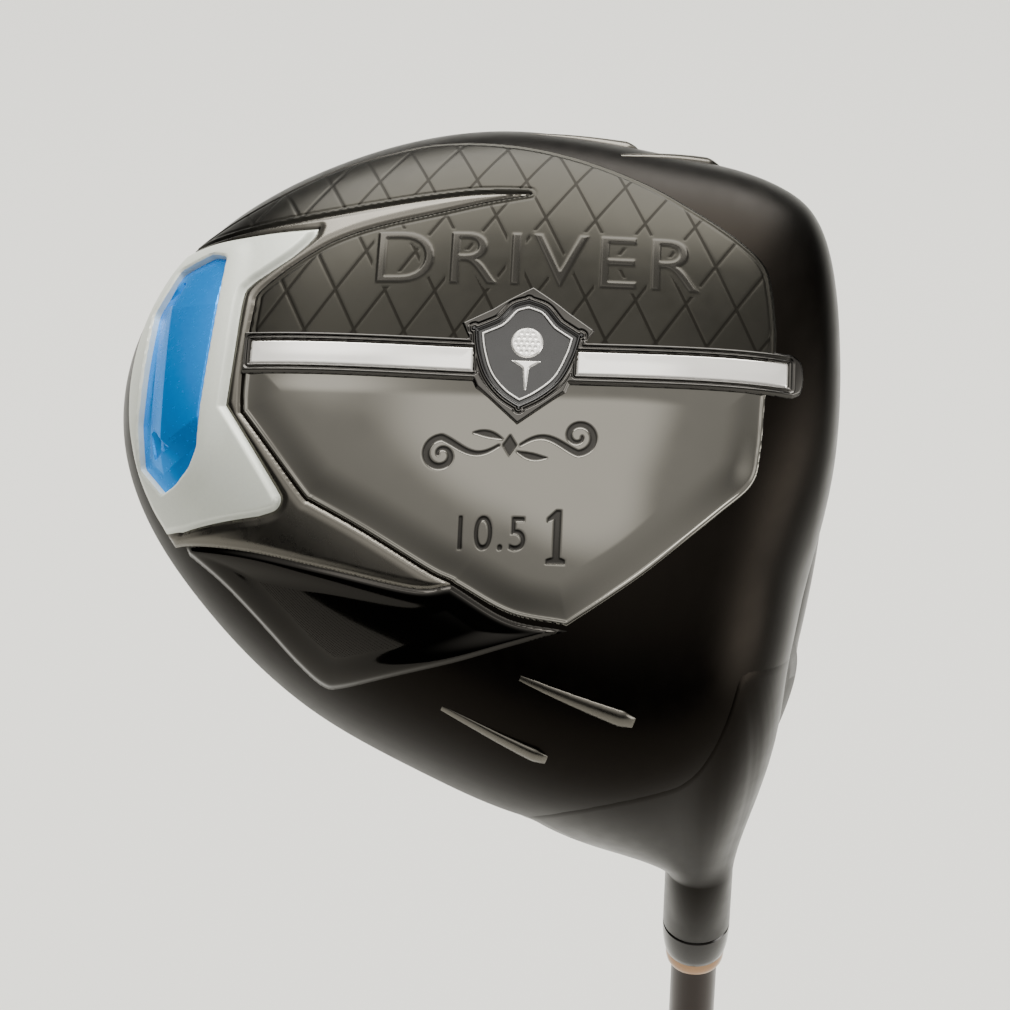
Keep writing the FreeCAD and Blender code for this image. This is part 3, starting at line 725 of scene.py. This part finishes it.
WEIGHT_LINE = rounded([(-82.4, 55.7), (-85.0, 56.9), (-90.6, 55.2), (-94.4, 47.6), (-95.2, 37.0),
                       (-95.6, 27.8), (-94.8, 20.8), (-90.6, 15.8), (-88.2, 16.6), (-86.0, 18.7),
                       (-84.8, 21.6), (-84.6, 28.0), (-83.4, 42.0)], 0.7)


def shield_line(grow):
    """Badge outline, moved outwards by a distance."""
    upper = [[(0.0, 9.8), (-3.2, 8.6), (-5.6, 5.9)], [(-5.6, 5.9), (-9.9, 3.9)]]
    lower = [[(-9.9, 3.9), (-9.2, -1.0), (-7.6, -5.6), (-4.7, -9.2), (-0.9, -11.7)],
             [(-0.9, -11.7), (3.2, -9.4), (6.6, -6.2), (8.8, -1.6), (10.0, 3.1)]]
    right = [[(10.0, 3.1), (6.1, 5.6)], [(6.1, 5.6), (3.6, 8.4), (0.0, 9.8)]]
    line = closed_line(upper + lower + right, 0.2)
    step = np.roll(line, -1, axis=0) - np.roll(line, 1, axis=0)
    step /= np.linalg.norm(step, axis=1, keepdims=True)
    outward = np.stack([-step[:, 1], step[:, 0]], axis=1) * -1
    for _ in range(3):
        outward = (np.roll(outward, 1, axis=0) + outward + np.roll(outward, -1, axis=0)) / 3
    return line + outward * grow + [SHIELD_X, SHIELD_Y]


def strip_line(x_from, x_to, grow=0.0):
    """Outline of one bright strip."""
    half = BAR_HALF + grow
    low, high = bar_edge(x_from, x_to, -half), bar_edge(x_to, x_from, half)
    return closed_line([low, [low[-1], high[0]], high, [high[-1], low[0]]])


REAR_STRIP = strip_line(-77.0, -40.2)
FRONT_STRIP = strip_line(-23.4, 10.8)
SURROUND_HALF = 3.7
SURROUND_LINE = closed_line([
    [on_bar(-78.4, -SURROUND_HALF), on_bar(-78.4, SURROUND_HALF)],
    bar_edge(-78.4, -41.4, SURROUND_HALF),
    *straight([on_bar(-41.4, SURROUND_HALF), (-42.6, 41.9), (-37.6, 44.6)]),
    [(-37.6, 44.6), (-35.0, 46.4), (-31.0, 48.8)],
    [(-31.0, 48.8), (-27.2, 46.2), (-24.9, 44.4)],
    *straight([(-24.9, 44.4), (-20.4, 41.2), on_bar(-21.8, SURROUND_HALF)]),
    bar_edge(-21.8, 11.6, SURROUND_HALF),
    [on_bar(11.6, SURROUND_HALF), on_bar(13.0, 2.6), (13.4, bar_y(13.0)), on_bar(13.0, -2.6),
     on_bar(11.6, -SURROUND_HALF)],
    bar_edge(11.6, -24.4, -SURROUND_HALF),
    *straight([on_bar(-24.4, -SURROUND_HALF), (-25.0, 30.2), (-32.6, 24.3), (-39.6, 30.6),
               on_bar(-40.2, -SURROUND_HALF)]),
    bar_edge(-40.2, -78.4, -SURROUND_HALF)])

# ---- sole trim

PANEL_RISE = 0.45


def family_gap(grid, angle, start, pitch):
    """Distance to the nearest of a family of slanting lines; start and pitch are measured along
    x on the line y = 41."""
    angle = math.radians(angle)
    across = grid[..., 0] - start - (grid[..., 1] - 41.0) / math.tan(angle)
    across = np.abs((across + pitch / 2) % pitch - pitch / 2)
    return across * math.sin(angle)


def text_segments(words, low, high):
    """Outline segments of plain lettering fitted into a box on the sole."""
    curve = bpy.data.curves.new("letters", "FONT")
    curve.body = words
    curve.space_character = 1.12
    curve.resolution_u = 6
    holder = bpy.data.objects.new("letters", curve)
    bpy.context.scene.collection.objects.link(holder)
    mesh = holder.to_mesh()
    edges = {}
    for polygon in mesh.polygons:
        for key in polygon.edge_keys:
            edges[key] = edges.get(key, 0) + 1
    rim = [key for key, count in edges.items() if count == 1]
    points = np.array([v.co[:2] for v in mesh.vertices])
    segments = np.array([[points[a], points[b]] for a, b in rim])
    holder.to_mesh_clear()
    bpy.data.objects.remove(holder)
    least, most = segments.min(axis=(0, 1)), segments.max(axis=(0, 1))
    return np.array(low) + (segments - least) / (most - least) * np.subtract(high, low)


def digit_one(low, high):
    """Outline segments of a plain figure one with a flag and a foot."""
    width, height = np.subtract(high, low)
    corners = [(0.0, 0.0), (1.0, 0.0), (1.0, 0.08), (0.72, 0.12), (0.72, 1.0), (0.45, 1.0),
               (0.0, 0.84), (0.0, 0.76), (0.34, 0.82), (0.34, 0.12), (0.0, 0.08)]
    line = closed_line(straight(corners + corners[:1]), 0.05)
    return ring_segments(line * [width, height] + low)


def stroke(points, widths):
    """Closed segments round a pen stroke whose width changes along it."""
    points = np.asarray(points, float)
    along = np.gradient(points, axis=0)
    along /= np.linalg.norm(along, axis=1, keepdims=True)
    side = np.stack([-along[:, 1], along[:, 0]], axis=1) * np.asarray(widths)[:, None] / 2
    return ring_segments(np.vstack([points + side, (points - side)[::-1]]))


def signed(patch, segments, reach=1.6):
    """Distance to a drawn shape, negative inside it."""
    inside = patch.inside(segments)
    gap = patch.distance(segments, reach)
    return np.where(inside, -gap, gap)


def toe_panel():
    """Satin plate with its lattice of grooves and the raised lettering."""
    patch = Patch(TOE_LINE, 0.2)
    edge = patch.distance(patch.segments, 3.0)
    letters = signed(patch, text_segments("DRIVER", (-57.0, 48.8), (-4.0, 58.4)))
    lattice = np.minimum(family_gap(patch.grid, 116.0, -3.3, 8.15),
                         family_gap(patch.grid, 57.0, -1.5, 8.3))
    lattice = np.where((edge > 1.1) & (letters > 0.7), lattice, 3.0)
    height = 0.1 + PANEL_RISE * smooth(edge, 0, 0.6)
    height -= 0.12 * (smooth(edge, 0.7, 0.95) - smooth(edge, 1.15, 1.4))
    height -= 0.05 * (1 - smooth(lattice, 0.05, 0.45))
    height += 0.16 * (1 - smooth(letters, -0.3, 0.15))
    patch.build("toe_panel", height, LATTICE, ("toe_plate",),
                {"lattice": lattice, "letters": letters})


def scroll(mirror, centre):
    """One half of an ornament: a wave that leaves the centre and curls into a spiral."""
    t = np.linspace(0, 1, 120)
    wave = np.stack([1.6 + 9.4 * t, 1.7 * np.sin(math.pi * 1.25 * t) * (1 - 0.2 * t)], axis=1)
    turn = np.linspace(0, 2.6 * math.pi, 160)
    radius = 2.9 * (1 - turn / (3.1 * math.pi))
    start = wave[-1] + [0.0, 2.9]
    curl = start + np.stack([radius * np.sin(turn), -radius * np.cos(turn)], axis=1)
    line = np.vstack([wave, curl[2:]]) * [mirror, mirror]
    widths = 0.95 * np.sin(np.linspace(0.25, 2.9, len(line))) + 0.18
    return stroke(line + centre, widths)


def leaf(mirror, centre, lean):
    """A pointed leaf beside the ornament's centre."""
    t = np.linspace(0, 1, 40)
    line = np.stack([1.0 + 5.2 * t, -lean * (0.9 + 2.6 * t - 1.6 * t * t)], axis=1) * mirror
    return stroke(line + centre, 1.15 * np.sin(math.pi * t) + 0.04)


def flourish():
    """Abstract ornament with half-turn symmetry: scrolls, leaves and a diamond."""
    centre = np.array([-33.6, 21.0])
    diamond = closed_line(straight([(0, 1.9), (-1.2, 0), (0, -1.9), (1.2, 0), (0, 1.9)]), 0.1)
    shapes = [ring_segments(diamond + centre)]
    for mirror in (1, -1):
        shapes += [scroll(mirror, centre), leaf(mirror, centre, 1.0)]
    return shapes


def heel_panel():
    """Gloss plate with a flourish and the loft and club numbers let into it."""
    patch = Patch(HEEL_LINE, 0.17)
    edge = patch.distance(patch.segments, 7.0)
    drawn = [text_segments("10.5", (-41.2, 3.6), (-30.4, 9.1)),
             digit_one((-27.0, 1.6), (-23.9, 10.4))] + flourish()
    mark = np.minimum.reduce([signed(patch, s) for s in drawn])
    height = 0.05 + PANEL_RISE * smooth(edge, 0, 0.6) + 0.5 * (smooth(edge, 0.8, 7.0) - 1)
    height += 0.22 * (smooth(edge, 0.1, 0.5) - smooth(edge, 0.8, 1.2))
    height -= 0.16 * (1 - smooth(mark, -0.2, 0.12))
    patch.build("heel_panel", height, GLOSS, ("heel_plate",), {"letters": mark})


def wedge_panel():
    """Gloss heel wedge with a soft rolled edge."""
    patch = Patch(WEDGE_LINE, 0.18)
    edge = patch.distance(patch.segments, 4.0)
    height = 0.05 + PANEL_RISE * smooth(edge, 0, 0.8) - 0.5 * smooth(edge, 0.9, 3.8)
    patch.build("heel_wedge_panel", height, WEDGE, ("heel_wedge",))


def frame_panel():
    """Satin frame round the bezel, with its two spears and a groove along each edge."""
    patch = Patch(FRAME_LINE, 0.18, [BEZEL_LINE])
    edge = patch.distance(patch.segments, 3.0)
    height = 0.15 + 0.35 * smooth(edge, 0.0, 0.45) + 0.25 * smooth(edge, 0.3, 1.6)
    # the frame's light colour is a painted highlight over dark satin
    patch.build("wing_frame_panel", height, FRAME_PAINTED_HIGHLIGHT, ("wing_frame",))


def bezel_panel():
    """White bezel: bevelled outer edge, a broken facet and a lip round the weight."""
    patch = Patch(BEZEL_LINE, 0.18, [WEIGHT_LINE])
    outer_gap = patch.distance(ring_segments(BEZEL_LINE), 4.0)
    inner_gap = patch.distance(ring_segments(WEIGHT_LINE), 6.0)
    height = 0.2 + 0.95 * smooth(outer_gap, 0.0, 1.1)
    height += 0.35 * (smooth(inner_gap, 0.0, 0.3) - smooth(inner_gap, 0.8, 5.0))
    patch.build("rear_bezel_panel", height, WHITE, ("rear_bezel",))


def weight_panel():
    """Blue weight: sunken faceted floor, a raised end at each side and two tool slots."""
    patch = Patch(WEIGHT_LINE, 0.12)
    edge = patch.distance(patch.segments, 3.0)
    x, y = patch.grid[..., 0], patch.grid[..., 1]
    height = 1.15 - 0.38 * np.maximum(0, -91.3 - x) - 0.10 * np.maximum(0, y - 46.8 + 0.1 * x + 8.7)
    height -= 0.24 * np.maximum(0, 23.4 - y + 0.55 * (x + 91.0))
    height -= 0.3 * (1 - smooth(edge, 0.0, 0.35))
    for cx, cy, turn in ((-91.2, 50.8, 62.0), (-92.4, 24.2, 118.0)):
        c, s = math.cos(math.radians(turn)), math.sin(math.radians(turn))
        u = (x - cx) * c + (y - cy) * s
        v = -(x - cx) * s + (y - cy) * c
        gap = np.maximum(np.abs(u) - 2.3, np.abs(v) - 0.9 + 0.25 * u)
        height -= 0.8 * (1 - smooth(gap, -0.3, 0.1))
    height = np.maximum(height, 0.12)
    patch.build("rear_weight_panel", height, BLUE, ("rear_weight",), skirt=2.2,
                sharp=14)


def strip_panels():
    """The two bright strips, slightly crowned, with a fine bevel."""
    for name, line, node in (("rear_strip", REAR_STRIP, "rear_bar_inlay"),
                             ("front_strip", FRONT_STRIP, "front_bar_inlay")):
        patch = Patch(line, 0.15)
        edge = patch.distance(patch.segments, 2.4)
        height = 0.42 + 0.2 * smooth(edge, 0, 0.35) + 0.06 * smooth(edge, 0.2, 2.0)
        patch.build(name, height, CHROME, (node,))


def surround_panel():
    """Black rim round the strips and the badge: a double bead."""
    inner_shield = shield_line(-1.3)
    patch = Patch(SURROUND_LINE, 0.11, [REAR_STRIP, FRONT_STRIP, inner_shield])
    holes = np.vstack([ring_segments(h) for h in (REAR_STRIP, FRONT_STRIP, inner_shield)])
    gap = patch.distance(holes, 2.4)
    edge = patch.distance(ring_segments(SURROUND_LINE), 2.4)
    height = 0.72 + 0.2 * smooth(gap, 0.0, 0.3) - 0.25 * (smooth(gap, 0.3, 0.6)
                                                          - smooth(gap, 0.65, 0.95))
    height -= 0.55 * (1 - smooth(edge, 0.0, 0.5))
    patch.build("bar_surround", height, RIM, sharp=75)


def badge_panels():
    """Badge field with a bright inner line and a plain device: a ball over a tee."""
    field = shield_line(-1.3)
    patch = Patch(field, 0.08)
    edge = patch.distance(patch.segments, 3.0)
    height = 1.0 - 0.35 * smooth(edge, 0.1, 0.5) + 0.2 * (
        smooth(edge, 0.9, 1.05) - smooth(edge, 1.25, 1.4))
    line = np.abs(edge - 1.15)
    patch.build("badge_field", height, BADGE, ("badge_plate",), {"line": line})
    turn = np.linspace(0, 2 * math.pi, 60, endpoint=False)
    centre = np.array([SHIELD_X, SHIELD_Y + 1.0])
    ball = centre + 2.6 * np.stack([np.cos(turn), np.sin(turn)], axis=1)
    tee = rounded([centre + p for p in ((-2.5, -3.1), (2.5, -3.1), (0.5, -4.4), (0.15, -8.2),
                                        (-0.15, -8.2), (-0.5, -4.4))], 0.3)
    for name, outline, domed in (("badge_ball", ball, True), ("badge_tee", tee, False)):
        shape = Patch(outline, 0.07)
        gap = shape.distance(shape.segments, 2.7)
        rise = 0.68 + 0.3 * smooth(gap, 0, 0.25)
        if domed:
            off = shape.grid - centre
            row = np.round(off[..., 1] / 0.8)
            dimple = np.hypot((off[..., 0] + 0.46 * (row % 2) + 0.46) % 0.92 - 0.46,
                              off[..., 1] - row * 0.8)
            rise = rise + 0.1 * smooth(gap, 0, 2.4) - 0.09 * (1 - smooth(dimple, 0.12, 0.34)) * (
                gap > 0.35)
        shape.build(name, rise, CHROME,
                    ("badge_device",) if domed else ())


BADGE = grained("badge_black", (0.014, 0.013, 0.013), 0.4, 0.22, coat=0.5, size=0.002,
                marks=[("line", 0.13, (0.75, 0.73, 0.70), 0.15)])
toe_panel()
heel_panel()
wedge_panel()
frame_panel()
bezel_panel()
weight_panel()
strip_panels()
surround_panel()
badge_panels()

# ---- fins on the skirt

FINS = [((-43.0, -18.7, -15.2), (-25.5, -25.6, -17.0)),
        ((-30.1, -14.8, -8.6), (-12.0, -20.8, -10.8)),
        ((-33.5, 81.9, -15.4), (-15.0, 82.4, -19.0)),
        ((-18.0, 76.7, -11.8), (-1.3, 79.7, -19.5))]
HEAD_INSIDE = (-30.0, 28.0, -30.0)


def build_fin(index, rear, front):
    """A fin that rises towards the front and ends in a steep step."""
    start, end = row_point(rear), row_point(front)
    lengths, sides = 44, 20
    rows = []
    for i in range(lengths):
        t = i / (lengths - 1)
        middle = start.lerp(end, t)
        near, normal = shell_tree.find_nearest(middle)[:2]
        if (near - row_point(HEAD_INSIDE)).dot(normal) < 0:
            normal = -normal
        along = (end - start).normalized()
        across = normal.cross(along).normalized()
        fade = min(1.0, (1 - t) * 9.0)
        wide = (0.5 + 1.1 * t) * (0.55 + 0.45 * fade)
        tall = (0.12 + 1.0 * t ** 1.3) * fade ** 0.6
        for k in range(sides):
            a = math.pi * k / (sides - 1)
            lean = 0.45 * tall * math.sin(a)
            spot = near + across * (wide * math.cos(a) + lean)
            rows.append(spot + normal * (tall * math.sin(a) - 0.06))
    # the fins are the body's dark satin; each takes the frame's lighter colour as a painted
    # highlight along its top
    mesh_piece("skirt_fin_%d" % index, [tuple(p) for p in rows], [grid_quads(lengths, sides)],
               FRAME_PAINTED_HIGHLIGHT, sharp=60)


for number, (rear, front) in enumerate(FINS, 1):
    build_fin(number, rear, front)

# ---- shaft line

BUTT_RADIUS, BUTT_BORE, BUTT_END = 7.6, 6.5, 275.0
TIP_BORE, TIP_START = 2.2, 1016.0
FOOT = CLUB_LENGTH - HOSEL_TOP
TIP_END = CLUB_LENGTH - BORE_BOTTOM
RING_TOP = FOOT - 6.5
lathe("ferrule_skin", [(TIP_RADIUS, RING_TOP), (5.1, RING_TOP), (5.2, RING_TOP + 0.15),
                       (5.42, RING_TOP + 1.2), (5.6, RING_TOP + 2.4), (5.74, RING_TOP + 4.0),
                       (5.8, RING_TOP + 5.4), (5.8, FOOT - 0.25), (5.6, FOOT),
                       (TIP_RADIUS, FOOT)],
      PLASTIC, ("ferrule",), around=128)
lathe("ferrule_ring_skin", [(TIP_RADIUS, RING_TOP - 2.6), (4.5, RING_TOP - 2.6),
                            (4.75, RING_TOP - 2.5), (4.95, RING_TOP - 2.1),
                            (5.06, RING_TOP - 1.5), (5.1, RING_TOP - 0.8),
                            (5.02, RING_TOP - 0.04), (TIP_RADIUS, RING_TOP - 0.04)],
      BRONZE, ("ferrule_ring",), around=128)
shaft_rows = [(BUTT_RADIUS + (TIP_RADIUS - BUTT_RADIUS) * t,
               BUTT_END + (TIP_START - BUTT_END) * t) for t in np.linspace(0, 1, 60)]
lathe("shaft_skin", [(BUTT_BORE, 3.0), (BUTT_RADIUS, 3.0)] + shaft_rows
      + [(TIP_RADIUS, TIP_END), (TIP_BORE, TIP_END), (TIP_BORE, TIP_START),
         (BUTT_BORE, BUTT_END)],
      SHAFT, ("shaft",), around=96)


def grip_radius(height):
    """Outside radius of the grip at a height above its butt end."""
    return np.interp(height, [3.0, 12.0, 35.0, 60.0, 261.0, 265.0, 267.0],
                     [13.2, 13.15, 12.2, 11.35, 8.9, 8.75, 8.2])


def grip_relief(angle, height, radius):
    """Diamond cuts over the hands' part of the grip, with plain bands between."""
    outside = radius > grip_radius(height) - 0.01
    band = smooth(height, 16.0, 18.0) * (1 - smooth(height, 248.0, 250.0))
    plain = 1 - smooth(np.abs(height - 132.0), 5.0, 6.5)
    wave = height * 2 * math.pi / 6.4
    cut_1 = np.abs(np.sin((wave + angle * 12) / 2))
    cut_2 = np.abs(np.sin((wave - angle * 12) / 2))
    depth = 1 - smooth(np.minimum(cut_1, cut_2), 0.06, 0.24)
    rings = 1 - smooth(np.abs((height + 2.0) % 4.0 - 2.0), 0.2, 0.6)
    low = smooth(height, 250.0, 251.0) * (1 - smooth(height, 260.0, 261.0))
    cut = 0.42 * depth * band * (1 - plain) + 0.3 * rings * low
    return np.where(outside & (height > 4.0), -cut, 0.0)


grip_heights = np.concatenate([np.arange(3.0, 264.0, 0.55), [265.0, 266.2, 267.0]])
lathe("grip_sleeve_skin", [(7.85, 3.0)] + [(float(grip_radius(h)), h) for h in grip_heights]
      + [(7.6, 267.0), (7.6, 263.0), (7.85, 263.0)],
      RUBBER, ("grip_sleeve",), around=256, ripple=grip_relief)
lathe("grip_cap_skin", [(1.5, 0.0), (8.0, 0.0), (8.2, 0.35), (8.8, 0.35), (9.0, 0.0),
                        (12.0, 0.0), (12.5, 0.12), (12.9, 0.45), (13.12, 0.8), (13.2, 1.2),
                        (13.2, 2.7), (13.0, 3.0), (1.5, 3.0)],
      RUBBER, ("grip_cap",), around=128)

# ---- stage, light and camera

FLOOR = bpy.data.meshes.new("floor")
FLOOR.from_pydata([(-30, -30, 0), (30, -30, 0), (30, 30, 0), (-30, 30, 0)], [], [(0, 1, 2, 3)])
floor = bpy.data.objects.new("floor", FLOOR)
bpy.context.scene.collection.objects.link(floor)
FLOOR.materials.append(grained("floor_paint", (0.86, 0.855, 0.82), 0.0, 0.9, size=0.5,
                               tone=0.01, bump=0.0))

HEAD_MIDDLE = row_point((-35.0, 30.0, -20.0)) * MM


LAMP_TOWARD, LAMP_DISTANCE = Vector((0.0, 0.62, 0.75)), 2.3
lamp = bpy.data.lights.new("ceiling", "AREA")
lamp.shape = "RECTANGLE"
lamp.size, lamp.size_y = 2.6, 2.2
lamp.energy = 150.0
lamp.color = (1.0, 0.985, 0.94)
ceiling = bpy.data.objects.new("ceiling", lamp)
ceiling.location = HEAD_MIDDLE + LAMP_TOWARD.normalized() * LAMP_DISTANCE
ceiling.rotation_euler = (-LAMP_TOWARD).to_track_quat("-Z", "Y").to_euler()
bpy.context.scene.collection.objects.link(ceiling)

world = bpy.data.worlds.new("studio")
bpy.context.scene.world = world
world.use_nodes = True
sky = world.node_tree


def sky_panel(toward, inner, outer, bright):
    """Soft bright patch of the sky round a direction."""
    gap = sky.nodes.new("ShaderNodeVectorMath")
    gap.operation = "DISTANCE"
    sky.links.new(look.outputs["Generated"], gap.inputs[0])
    gap.inputs[1].default_value = Vector(toward).normalized()
    return remap(sky, gap.outputs["Value"], inner, outer, bright, 0.0, "SMOOTHSTEP")


look = sky.nodes.new("ShaderNodeTexCoord")
axes = sky.nodes.new("ShaderNodeSeparateXYZ")
sky.links.new(look.outputs["Generated"], axes.inputs[0])
brightness = remap(sky, axes.outputs["Z"], 0.30, 0.93, 0.03, 1.15, "SMOOTHSTEP")
for toward, inner, outer, bright in (((0.0, -0.24, 0.96), 0.10, 0.26, 1.7),
                                     ((-0.34, 0.02, 0.94), 0.05, 0.30, 2.2),
                                     ((0.98, -0.22, 0.20), 0.10, 0.50, 7.0)):
    total = sky.nodes.new("ShaderNodeMath")
    total.operation = "ADD"
    sky.links.new(brightness, total.inputs[0])
    sky.links.new(sky_panel(toward, inner, outer, bright), total.inputs[1])
    brightness = total.outputs[0]
sky.nodes["Background"].inputs["Color"].default_value = (1.0, 0.985, 0.94, 1.0)
sky.links.new(brightness, sky.nodes["Background"].inputs["Strength"])

AZIMUTH, ELEVATION = math.radians(3.24), math.radians(40.85)
VIEW_DISTANCE, VIEW_RIGHT, VIEW_UP = 539.8, -33.3, 11.7
SENSOR, FOCAL_LENGTH = 36.0, 121.188118
right = Vector((math.cos(AZIMUTH), math.sin(AZIMUTH), 0))
forward = Vector((-math.sin(AZIMUTH) * math.cos(ELEVATION),
                  math.cos(AZIMUTH) * math.cos(ELEVATION), -math.sin(ELEVATION)))
upward = right.cross(forward)
lens = bpy.data.cameras.new("camera")
lens.sensor_width = SENSOR
lens.lens = FOCAL_LENGTH
lens.clip_start = 0.02
camera = bpy.data.objects.new("camera", lens)
camera.location = (Vector((0, 0, CLUB_LENGTH)) + right * VIEW_RIGHT + upward * VIEW_UP
                   - forward * VIEW_DISTANCE) * MM
camera.rotation_euler = forward.to_track_quat("-Z", "Y").to_euler()
bpy.context.scene.collection.objects.link(camera)
bpy.context.scene.camera = camera

bpy.context.view_layer.update()
